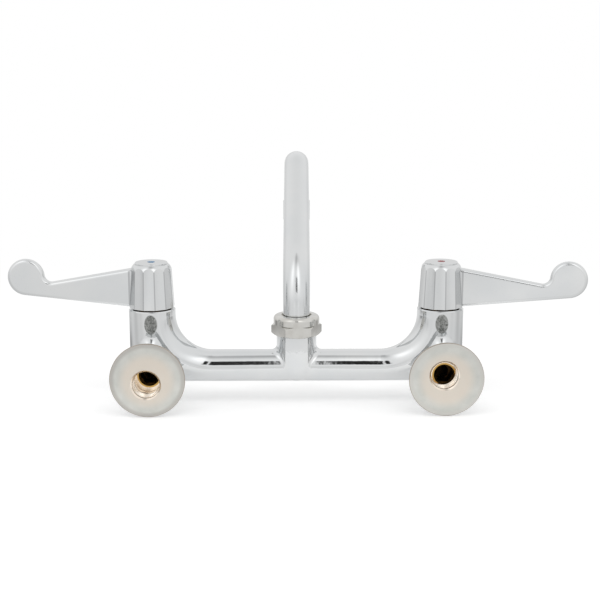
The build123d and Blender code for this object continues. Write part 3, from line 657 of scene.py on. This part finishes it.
@dataclass
class Body:
    """Cast body with its two towers, two legs and the spout's boss.

    Attributes:
        leg_mm: Radius of a leg's way, and its ends along the depth.
        tower_mm: Radius of a tower's way, and its lowest and highest level.
        tube_mm: Radius of the tube's way, and its ends along the wall.
        boss_mm: Radius of the spout's socket, and its lowest and highest level.
        ovals: Upright ovals on the wall side of the towers, mottled dark grey.
        oval_tone: Dark grey of the ovals, which turns in patches to a brighter grey.
        oval_gloss: Their roughness.
        wave_mm: Spacing of the waves that the sand-cast skin leaves under the polish.
        wave_depth_mm: Height of those waves.
    """

    leg_mm: Triple = (10.6, -40.0, 0.0)
    tower_mm: Triple = (12.4, -9.5, 42.5)
    tube_mm: Triple = (9.4, -86.0, 86.0)
    boss_mm: Triple = (12.2, 4.0, 34.0)
    ovals: tuple[GreyOval, ...] = (GreyOval((101.1, 33.2)), GreyOval((-100.8, 33.2)))
    oval_tone: str = "#646663"
    oval_gloss: float = 0.34
    wave_mm: float = 7.0
    wave_depth_mm: float = 0.055

    def plate(self) -> Finish:
        """Chromium on the cast skin, mottled grey ovals, and painted-shade raw brass in every way.

        Returns:
            The finish of the casting.
        """
        ways = [Cavity(ALONG, (0.0, AXIS_Y_MM, 0.0), self.tube_mm)]
        ways += [Cavity(UP, (0.0, AXIS_Y_MM, 0.0), self.boss_mm)]
        for tower_x in (TOWER_X_MM, -TOWER_X_MM):
            ways += [Cavity(DEEP, (tower_x, 0.0, 0.0), self.leg_mm)]
            ways += [Cavity(UP, (tower_x, AXIS_Y_MM, 0.0), self.tower_mm)]
        coats = [MottledCoat(oval, self.oval_tone, self.oval_gloss) for oval in self.ovals]
        # Raw brass darkened as painted shade inside every way.
        coats += [Coat(way, *SHADED_RAW_BRASS) for way in ways]
        return replace(
            CHROME,
            name="Chrome_plate_on_cast_brass",
            grain_mm=self.wave_mm,
            grain_depth_mm=self.wave_depth_mm,
            coats=tuple(coats),
        )

    def build(self, workshop: Workshop) -> None:
        """Dress the casting."""
        workshop.coat("body_casting", self.plate())


@dataclass
class WallConnection:
    """One leg's wall flange, with its gasket, the hexagon nipple behind it and the pipe thread.

    Attributes:
        side: Supply side.
        border_shade_tone: Colour of the flange's rounded border, darkened as painted shade.
        flange_x_mm: Place of the flange's axis along the wall.
        bore_turn: Degrees from +X towards +Z at which the pipe bore stands off that axis.
        bore_throw_mm: How far it stands off.
        warm_fade_mm: Distances from the flange's axis over which its back turns warm.
        border_fade_mm: Distances over which the border darkens.
        rim_fade_mm: Distances over which the brownish line at the rim comes up.
        front_fade_mm: Depths over which the dull back turns to the bright front.
        bore_reach_mm: Radius and ends of the pipe bore.
        socket_reach_mm: Radius and ends of the nipple's socket.
        web_reach_mm: Radius and ends of the web between the bore and the socket.
        bore_mm: Radius of the bore.
        crest_mm: Height of the thread's crests.
        lap_mm: Gap between its roots and the bore.
        pitch_mm: Spacing of the thread, fourteen to the inch.
        start_mm: Depth at which the thread starts, past the mouth's chamfer.
        end_mm: Depth at which it ends, short of the web.
        wave_turns: Shares of a pitch at which its outline bends.
        wave_heights: Shares of the crest's height there.
        columns: Points round it.
        rows: Points along it.
    """

    side: Side
    border_shade_tone: str
    flange_x_mm: float
    bore_turn: float
    bore_throw_mm: float = 3.2
    warm_fade_mm: Pair = (21.5, 13.5)
    border_fade_mm: Pair = (21.6, 24.2)
    rim_fade_mm: Pair = (25.1, 25.5)
    front_fade_mm: Pair = (1.6, 1.9)
    bore_reach_mm: Triple = (10.7, -15.7, -0.1)
    socket_reach_mm: Triple = (9.3, -22.0, -15.6)
    web_reach_mm: Triple = (8.4, -15.9, -12.0)
    bore_mm: float = 9.4
    crest_mm: float = 0.5
    lap_mm: float = 0.02
    pitch_mm: float = 1.814
    start_mm: float = 1.3
    end_mm: float = 12.6
    wave_turns: tuple[float, ...] = (0.0, 0.14, 0.3, 0.4, 1.0)
    wave_heights: tuple[float, ...] = (0.0, 0.0, 1.0, 1.0, 0.0)
    columns: int = 72
    rows: int = 220

    def bore_centre(self) -> Triple:
        """The flange's own centre, moved by the bore's throw in the direction of its turn."""
        turn, throw = radians(self.bore_turn), self.bore_throw_mm
        return (self.flange_x_mm + throw * cos(turn), 0.0, throw * sin(turn))

    def plate(self) -> TurnedFinish:
        """Nickel that is dull at the back and bright at the front, round this flange's axes.

        Its back is warm round the bore and cool further out, with a border darkened as painted
        shade and a thin brownish line at the rim. The bore and the web's edge are bright brass, and
        the socket behind them is darkened to brown as painted shade.

        Returns:
            The finish of this flange.
        """
        hub, bore = (self.flange_x_mm, 0.0, 0.0), self.bore_centre()
        return TurnedFinish(
            f"Nickel_plate_flange_{self.side.value}",
            "#CFCFCA",
            "#C6C7C2",
            metallic=1.0,
            gloss=(0.34, 0.46),
            drift_mm=9,
            grain_mm=0.7,
            grain_depth_mm=0.006,
            coats=(
                Coat(Beyond(hub, across(DEEP), self.warm_fade_mm), "#D7CFC4"),
                # The border is darkened as painted shade.
                Coat(Beyond(hub, across(DEEP), self.border_fade_mm), self.border_shade_tone),
                Coat(Beyond(hub, across(DEEP), self.rim_fade_mm), "#A3988C"),
                Coat(Beyond(hub, DEEP, self.front_fade_mm), "#D8D9D9", 0.06),
                Coat(Cavity(DEEP, bore, self.bore_reach_mm), "#EDE2D4", 0.14),
                # The socket is darkened to brown as painted shade.
                Coat(Cavity(DEEP, hub, self.socket_reach_mm), "#4A3926", 0.5),
                Coat(Cavity(DEEP, hub, self.web_reach_mm), "#C9A25E", 0.25),
            ),
            axis=DEEP,
            centre_mm=hub,
            ring_mm=0.7,
            ring_depth_mm=0.002,
        )

    def thread(self) -> bpy.types.Mesh:
        """Pipe thread inside the bore.

        At each angle and depth, the radius is the bore's less the crest height times a blunt
        wave of the depth over the pitch plus the angle over a turn. The wave's flank towards the
        mouth stands at sixty degrees, and it fades out over the first and last pitch.

        Returns:
            The thread's surface, facing the axis.
        """
        around = np.linspace(0, 2 * np.pi, self.columns, endpoint=False)
        angle, depth = np.meshgrid(around, np.linspace(self.start_mm, self.end_mm, self.rows))
        phase = depth / self.pitch_mm + angle / (2 * np.pi)
        blunt = np.interp(phase % 1, self.wave_turns, self.wave_heights)
        fade_in = np.clip((depth - self.start_mm) / self.pitch_mm, 0, 1)
        fade_out = np.clip((self.end_mm - depth) / self.pitch_mm, 0, 1)
        radius = self.bore_mm - self.lap_mm - self.crest_mm * blunt * fade_in * fade_out
        bore_x, _, bore_z = self.bore_centre()
        aside, height = bore_x + radius * np.cos(angle), bore_z + radius * np.sin(angle)
        points = np.stack([aside, -depth, height], axis=-1) * MM
        return grid_mesh(f"pipe_thread_{self.side.value}", points, closed_across=True)

    def build(self, workshop: Workshop) -> None:
        """Dress the nodes of this connection and cut its thread.

        Args:
            workshop: Keeper of the materials.
        """
        side = self.side.value
        workshop.coat(f"inlet_flange_{side}", self.plate())
        workshop.coat(f"flange_gasket_{side}", Slot.FIBRE)
        # The nipple, deep in the bore, is darkened to brown as painted shade.
        workshop.coat(f"hexagon_nipple_{side}", SHADED_BRASS)
        workshop.add(f"pipe_thread_{side}", self.thread(), "body", Slot.BRASS, FLASHED_BRASS)


@dataclass
class Valve:
    """Ceramic quarter-turn valve inside one tower.

    Attributes:
        side: Supply side.
    """

    side: Side

    def build(self, workshop: Workshop) -> None:
        """Dress the pieces of the cartridge.

        Args:
            workshop: Keeper of the materials.
        """
        for part, finish in (
            ("cartridge_body", Slot.BRASS),
            # The bonnet nut gets the same brass, darkened to brown as painted shade.
            ("bonnet_nut", SHADED_BRASS),
            ("stem", Slot.BRASS),
            ("fixed_disc", Slot.CERAMIC),
            ("moving_disc", Slot.CERAMIC),
            ("seat_seal", Slot.RUBBER),
            ("cartridge_ring", Slot.RUBBER),
            ("stem_ring", Slot.RUBBER),
        ):
            workshop.coat(f"{part}_{self.side.value}", finish)


@dataclass
class WristHandle:
    """Fluted hub with a wrist blade, its screw, cap and colour dot.

    Attributes:
        side: Supply side.
        dot: Colour slot of the dot.
        axis_x_mm: Place of the handle's axis along the wall.
        blade_turn: Degrees about the axis at which the blade stands with the valve closed.
        arris_turn: Degrees from the blade to the nearest arris, half a flute.
        arris_reflection_tone: Colour of the grey line painted on each arris as its reflection.
        skirt_mm: Radius of the hollow skirt, and its lowest and highest level.
    """

    side: Side
    dot: Slot
    axis_x_mm: float
    blade_turn: float
    arris_turn: float = 15.0
    arris_reflection_tone: str = "#B4B5B6"
    skirt_mm: Triple = (13.5, 41.0, 52.2)

    def plate(self) -> Finish:
        """Hazed chromium, painted reflection lines on the arrises, and painted-shade raw brass in
        the skirt.

        Returns:
            The finish of this handle.
        """
        centre = (self.axis_x_mm, AXIS_Y_MM, 0.0)
        arrises = Arrises(centre, self.blade_turn + self.arris_turn)
        skirt = Cavity(UP, centre, self.skirt_mm)
        # Raw brass darkened as painted shade in the skirt, and a grey painted reflection on each
        # arris.
        coats = (Coat(skirt, *SHADED_RAW_BRASS), Coat(arrises, self.arris_reflection_tone))
        name = f"Chrome_plate_handle_{self.side.value}"
        return replace(CHROME, name=name, gloss=HAZE, coats=coats)

    def build(self, workshop: Workshop) -> None:
        """Dress the handle and what is let into its crown.

        Args:
            workshop: Keeper of the materials.
        """
        side = self.side.value
        workshop.coat(f"handle_{side}", self.plate())
        workshop.coat(f"index_cap_{side}", Slot.CHROME)
        workshop.coat(f"handle_screw_{side}", Slot.STEEL)
        workshop.coat(f"index_dot_{side}", self.dot)


@dataclass
class Spout:
    """Swivel spout with its nut, sleeve, seals and aerator."""

    def build(self, workshop: Workshop) -> None:
        """Dress the spout's pieces.

        Args:
            workshop: Keeper of the materials.
        """
        for node, finish in (
            ("spout_tube", TUBE_CHROME),
            ("aerator_housing", Slot.CHROME),
            ("swivel_nut", Slot.NICKEL),
            ("spout_sleeve", Slot.BRASS),
            ("spout_rings", Slot.RUBBER),
            ("slip_washer", Slot.ACETAL),
            ("aerator_screen", Slot.STEEL),
            ("aerator_insert", Slot.ACETAL),
            ("aerator_washer", Slot.RUBBER),
        ):
            workshop.coat(node, finish)


@dataclass
class Softbox:
    """A wide lamp behind white cloth.

    Attributes:
        name: Name of the lamp.
        azimuth: Degrees from the lens, towards the photograph's right.
        elevation: Degrees above the table.
        distance: Metres from the middle of the faucet.
        size: Width and height in metres.
        radiance: How bright its cloth is, where one is plain white.
    """

    name: str
    azimuth: float
    elevation: float
    distance: float
    size: Pair
    radiance: float

    def build(self, centre: Vector) -> None:
        """Hang the lamp so that it looks at the faucet.

        A lamp of area A and radiance R has a power of R times pi times A.

        Args:
            centre: Middle of the faucet.
        """
        turn, rise = radians(self.azimuth), radians(self.elevation)
        away = Vector((-sin(turn) * cos(rise), cos(turn) * cos(rise), sin(rise)))
        width, height = self.size
        lamp = bpy.data.lights.new(self.name, "AREA")
        lamp.shape = "RECTANGLE"
        lamp.size, lamp.size_y = width, height
        lamp.energy = self.radiance * np.pi * width * height
        box = bpy.data.objects.new(self.name, lamp)
        box.location = centre + away * self.distance
        box.rotation_euler = (-away).to_track_quat("-Z", "Y").to_euler()
        # Bright metal shows the lamp as a soft patch on the tent's cloth instead.
        box.visible_glossy = False
        bpy.context.scene.collection.objects.link(box)
        log.info("%s: %.0f W", self.name, lamp.energy)


@dataclass(frozen=True)
class Patch:
    """A soft patch of light or shade on the tent's cloth.

    Attributes:
        azimuth: Degrees from the lens, towards the photograph's right.
        elevation: Degrees above level, seen from the faucet.
        half_turn: Degrees over which it fades sideways.
        half_rise: Degrees over which it fades up and down.
        tone: Brightness at its middle, where one is plain white cloth.
    """

    azimuth: float
    elevation: float
    half_turn: float
    half_rise: float
    tone: float


@dataclass
class Tent:
    """White cloth tent round the faucet, which only metal shows.

    Attributes:
        inner_radius: Metres from the middle to the cloth on the table.
        outer_radius: Metres from the middle to the cloth that stands up.
        eye_height: Height of the faucet's middle, from which directions are counted.
        top_rise: Degrees above level at which the cloth ends.
        lift: Metres between the cloth and the table.
        near_fade: Metres of cloth next to the inner radius over which its patches come up.
        slot_turn: Azimuths between which the cloth is open round the lens.
        slot_rise: Lowest and highest degrees of the slot.
        slot_fade: Degrees over which its edges fade.
        slot_rag: Waves in a turn of its upper and lower edges, and their height in degrees.
        slot_tone: Brightness of the dark room behind the slot.
        hood_turn: Azimuths between which the lens's white hood stands in the slot.
        table_rows: Rings of points on the table.
        wall_rows: Rings of points from the table's edge to the top.
        columns: Points in a ring.
        patches: Lamps, seams and shaded sides.
    """

    inner_radius: float = 0.16
    outer_radius: float = 6.0
    eye_height: float = 0.05
    top_rise: float = 88.0
    lift: float = 0.001
    near_fade: float = 0.04
    slot_turn: Pair = (-6.8, 8.0)
    slot_rise: Pair = (14.0, 40.0)
    slot_fade: float = 1.5
    slot_rag: tuple[Pair, ...] = ((70.0, 0.6), (163.0, 0.36))
    slot_tone: float = 0.03
    hood_turn: Pair = (-0.3, 2.4)
    table_rows: int = 60
    wall_rows: int = 120
    columns: int = 360
    patches: tuple[Patch, ...] = (
        Patch(0, -12, 900, 12, 0.9),
        Patch(-42, 41, 17, 25, 1.5),
        Patch(20, 43, 15, 25, 1.6),
        Patch(0, 76, 45, 15, 0.56),
        Patch(0, -2, 26, 6, 0.9),
        Patch(16, -8, 7, 6, 1.16),
        Patch(-16, -8, 8, 6, 1.14),
        Patch(-62, -8, 8, 8, 0.86),
        Patch(62, -8, 8, 8, 0.9),
        Patch(-84, -8, 12, 20, 0.76),
        Patch(90, -8, 12, 20, 0.74),
        Patch(-124, -8, 18, 14, 0.84),
        Patch(120, -8, 18, 14, 0.84),
        Patch(-120, -16.5, 16, 3.5, 0.42),
        Patch(120, -16.5, 16, 3.5, 0.6),
        Patch(180, 6, 50, 12, 0.8),
        Patch(180, 63, 60, 20, 0.95),
    )

    def tone(self, azimuth: np.ndarray, elevation: np.ndarray) -> np.ndarray:
        """Brightness of the cloth in each direction.

        White cloth is multiplied, for each patch, by one plus the patch's tone less one, weighted
        by a bell curve of the direction's distance from the patch. It is dark where a direction's
        least distance from the slot's edges and the lens's hood is more than nought. The upper
        and lower edges wander by the sum of their waves.

        Args:
            azimuth: Degrees from the lens.
            elevation: Degrees above level.

        Returns:
            The brightness, one for plain white cloth.
        """
        cloth = np.ones_like(azimuth)
        for patch in self.patches:
            aside = ((azimuth - patch.azimuth + 180) % 360 - 180) / patch.half_turn
            above = (elevation - patch.elevation) / patch.half_rise
            cloth *= 1 + (patch.tone - 1) * np.exp(-(aside**2 + above**2))
        low, high = self.slot_rise
        first, last = self.slot_turn
        hood_first, hood_last = self.hood_turn
        within = np.minimum(elevation - low, high - elevation)
        within += sum(size * np.sin(np.radians(azimuth * waves)) for waves, size in self.slot_rag)
        within = np.minimum(within, np.minimum(azimuth - first, last - azimuth))
        within = np.minimum(within, np.maximum(hood_first - azimuth, azimuth - hood_last))
        dark = np.clip(within / self.slot_fade + 0.5, 0, 1)
        return cloth * (1 - dark) + self.slot_tone * dark

    def build(self, table: float) -> None:
        """Sew the tent: out over the table, and up round the faucet.

        The first rings lie on the table, at radii from the inner to the outer one. The others
        stand at a fixed distance from the faucet's middle, at elevations from the table's edge to
        nearly overhead. Patches come up over a short way from the inner radius, where the cloth
        is plain white.

        Args:
            table: Level of the table.
        """
        drop = self.eye_height - table
        flat = np.geomspace(self.inner_radius, self.outer_radius, self.table_rows)
        reach = np.hypot(self.outer_radius, drop)
        edge = -np.arctan2(drop, self.outer_radius)
        rise = np.linspace(edge, np.radians(self.top_rise), self.wall_rows)[1:]
        radius = np.concatenate([flat, reach * np.cos(rise)])
        height = np.concatenate([np.full_like(flat, -drop + self.lift), reach * np.sin(rise)])
        turn = np.linspace(-np.pi, np.pi, self.columns, endpoint=False)
        azimuth, radius = np.meshgrid(turn, radius)
        height = np.broadcast_to(height[:, None], radius.shape)
        along = -radius * np.sin(azimuth)
        deep = radius * np.cos(azimuth) + AXIS_Y_MM * MM
        points = np.stack([along, deep, height + self.eye_height], axis=-1)
        mesh = grid_mesh("cloth_tent", points, closed_across=True)
        tone = self.tone(np.degrees(azimuth), np.degrees(np.arctan2(height, radius)))
        tone = 1 + (tone - 1) * np.clip((radius - self.inner_radius) / self.near_fade, 0, 1)
        layer = mesh.attributes.new("tone", "FLOAT", "POINT")
        layer.data.foreach_set("value", tone.astype(np.float32).ravel())
        material = bpy.data.materials.new("White_tent_cloth")
        tree = bare_tree(material)
        strength = add_node(tree, "Attribute", {"attribute_name": "tone"}).outputs["Fac"]
        glow = add_node(tree, "Emission", None, {"Color": WHITE, "Strength": strength})
        add_node(tree, "OutputMaterial", None, {"Surface": glow.outputs[0]})
        material.cycles.emission_sampling = "NONE"
        mesh.materials.append(material)
        tent = bpy.data.objects.new("cloth_tent", mesh)
        tent.visible_camera = False
        tent.visible_diffuse = False
        tent.visible_shadow = False
        bpy.context.scene.collection.objects.link(tent)


@dataclass
class Studio:
    """White table, white surroundings, soft lamps and the cloth tent.

    Attributes:
        table_radius: Metres of table in each direction.
        table_lines: Points along each side of the table.
        table_gap: Metres between the table and the faucet's lowest point.
        table_tone: Colour of the table.
        table_glow: Light that shines up through the table, to the lens and in reflections.
        fade: Metres from the faucet between which the table turns to plain white.
        ambient: Brightness of the surroundings as a light.
        lamps: The soft lamps.
    """

    table_radius: float = 3.0
    table_lines: int = 13
    table_gap: float = 0.0002
    table_tone: str = "#F4F4F4"
    table_glow: float = 0.27
    fade: Pair = (0.18, 0.7)
    ambient: float = 0.64
    lamps: tuple[Softbox, ...] = (
        Softbox("front_softbox", 0, 57, 1.1, (1.3, 0.5), 1.45),
        Softbox("left_softbox", -90, 35, 1.3, (0.6, 0.9), 1.0),
        Softbox("right_softbox", 90, 35, 1.3, (0.6, 0.9), 1.0),
    )

    def seen(self, tree: Tree) -> Socket:
        """One to the lens, in a reflection and through glass, and nought as a light.

        Args:
            tree: Node tree of the table or the world.

        Returns:
            The mask.
        """
        path = add_node(tree, "LightPath").outputs
        rays = {0: path["Is Camera Ray"], 1: path["Is Glossy Ray"]}
        rays = {0: add_node(tree, "Math", {"operation": "MAXIMUM"}, rays).outputs[0]}
        rays[1] = path["Is Transmission Ray"]
        return add_node(tree, "Math", {"operation": "MAXIMUM"}, rays).outputs[0]

    def surroundings(self) -> None:
        """White all round, at full strength to the lens and in reflections, softer as a light."""
        world = bpy.data.worlds.new("White_studio")
        bpy.context.scene.world = world
        tree = bare_tree(world)
        strength = {"Value": self.seen(tree), "To Min": self.ambient, "To Max": 1.0}
        strength = add_node(tree, "MapRange", None, strength).outputs[0]
        white = add_node(tree, "Background", None, {"Color": WHITE, "Strength": strength})
        add_node(tree, "OutputWorld", None, {"Surface": white.outputs[0]})

    def table(self, height: float, centre: Vector) -> None:
        """Lay the table, lit faintly from below, whose white turns to that of the surroundings.

        Args:
            height: Level of the table.
            centre: Middle of the faucet.
        """
        reach = np.linspace(-self.table_radius, self.table_radius, self.table_lines)
        along, deep = np.meshgrid(reach, reach)
        level = np.full_like(along, height)
        points = np.stack([along + centre.x, deep + centre.y, level], axis=-1)
        table = bpy.data.objects.new("studio_table", grid_mesh("studio_table", points[::-1]))
        bpy.context.scene.collection.objects.link(table)
        material = bpy.data.materials.new("White_table")
        tree = bare_tree(material)
        place = add_node(tree, "TexCoord").outputs["Object"]
        ends = {0: place, 1: (centre.x, centre.y, height)}
        away = add_node(tree, "VectorMath", {"operation": "DISTANCE"}, ends).outputs["Value"]
        near, far = self.fade
        fade = {"Value": away, "From Min": near, "From Max": far}
        fade = add_node(tree, "MapRange", SMOOTH, fade).outputs[0]
        seen = self.seen(tree)
        glow = add_node(tree, "Math", TIMES, {0: seen, 1: self.table_glow})
        glow = add_node(tree, "Emission", None, {"Color": WHITE, "Strength": glow.outputs[0]})
        cloth = add_node(tree, "BsdfDiffuse", None, {"Color": linear(self.table_tone)})
        lit = add_node(tree, "AddShader", None, {0: cloth.outputs[0], 1: glow.outputs[0]})
        white = add_node(tree, "Emission", None, {"Color": WHITE, "Strength": 1.0})
        share = add_node(tree, "Math", TIMES, {0: seen, 1: fade}).outputs[0]
        mixed = {0: share, 1: lit.outputs[0], 2: white.outputs[0]}
        mixed = add_node(tree, "MixShader", None, mixed).outputs[0]
        add_node(tree, "OutputMaterial", None, {"Surface": mixed})
        material.cycles.emission_sampling = "NONE"
        table.data.materials.append(material)

    def build(self) -> None:
        """Set the surroundings, the table, the tent and the lamps."""
        low, high = CAD_BOX
        centre = (low + high) / 2
        height = low.z - self.table_gap
        self.surroundings()
        self.table(height, centre)
        Tent().build(height)
        for lamp in self.lamps:
            lamp.build(centre)
        bpy.context.scene.view_settings.view_transform = "Standard"


@dataclass
class Viewpoint:
    """The camera, where the photograph was taken from.

    Attributes:
        focal_px: Focal length in pixels of a frame of frame_px.
        frame_px: Width and height of the square frame.
        middle_px: Pixel that the lens looks at.
        target_mm: Point of the faucet in that pixel.
        distance_mm: From the lens to that point.
        pitch: Degrees that the lens looks down.
        yaw: Degrees that the camera stands off the middle.
        sensor_mm: Width of the camera's sensor.
        clip: Nearest and furthest metres that the camera sees.
    """

    focal_px: float = 1105.0
    frame_px: float = 600.0
    middle_px: Pair = (298.43, 294.10)
    target_mm: Triple = (-1.378, AXIS_Y_MM, 51.445)
    distance_mm: float = 777.9
    pitch: float = 11.474
    yaw: float = 0.792
    sensor_mm: float = 36.0
    clip: Pair = (0.01, 50.0)

    def build(self) -> None:
        """Make the camera and make it the scene's own."""
        down, turn = radians(self.pitch), radians(self.yaw)
        forward = Vector((-sin(turn) * cos(down), -cos(turn) * cos(down), -sin(down)))
        lens = bpy.data.cameras.new("photograph")
        lens.sensor_width = self.sensor_mm
        lens.lens = self.focal_px / self.frame_px * self.sensor_mm
        lens.shift_x = 0.5 - self.middle_px[0] / self.frame_px
        lens.shift_y = self.middle_px[1] / self.frame_px - 0.5
        lens.clip_start, lens.clip_end = self.clip
        camera = bpy.data.objects.new("photograph", lens)
        camera.location = (Vector(self.target_mm) - forward * self.distance_mm) * MM
        camera.rotation_euler = forward.to_track_quat("-Z", "Y").to_euler()
        bpy.context.scene.collection.objects.link(camera)
        bpy.context.scene.camera = camera


def main() -> None:
    """Build the faucet's finishes and pieces in order, then the studio and the camera."""
    logging.basicConfig(level=logging.INFO, format="%(name)s %(message)s")
    workshop = Workshop()
    for piece in (
        Body(),
        WallConnection(Side.COLD, "#B9B7B2", TOWER_X_MM, bore_turn=-72.0),
        WallConnection(Side.HOT, "#C9C8C3", -TOWER_X_MM, bore_turn=61.0),
        Valve(Side.COLD),
        Valve(Side.HOT),
        WristHandle(Side.COLD, Slot.BLUE, TOWER_X_MM, blade_turn=-1.1),
        WristHandle(Side.HOT, Slot.RED, -TOWER_X_MM, blade_turn=170.5),
        Spout(),
    ):
        piece.build(workshop)
    Studio().build()
    Viewpoint().build()


if __name__ == "__main__":
    main()
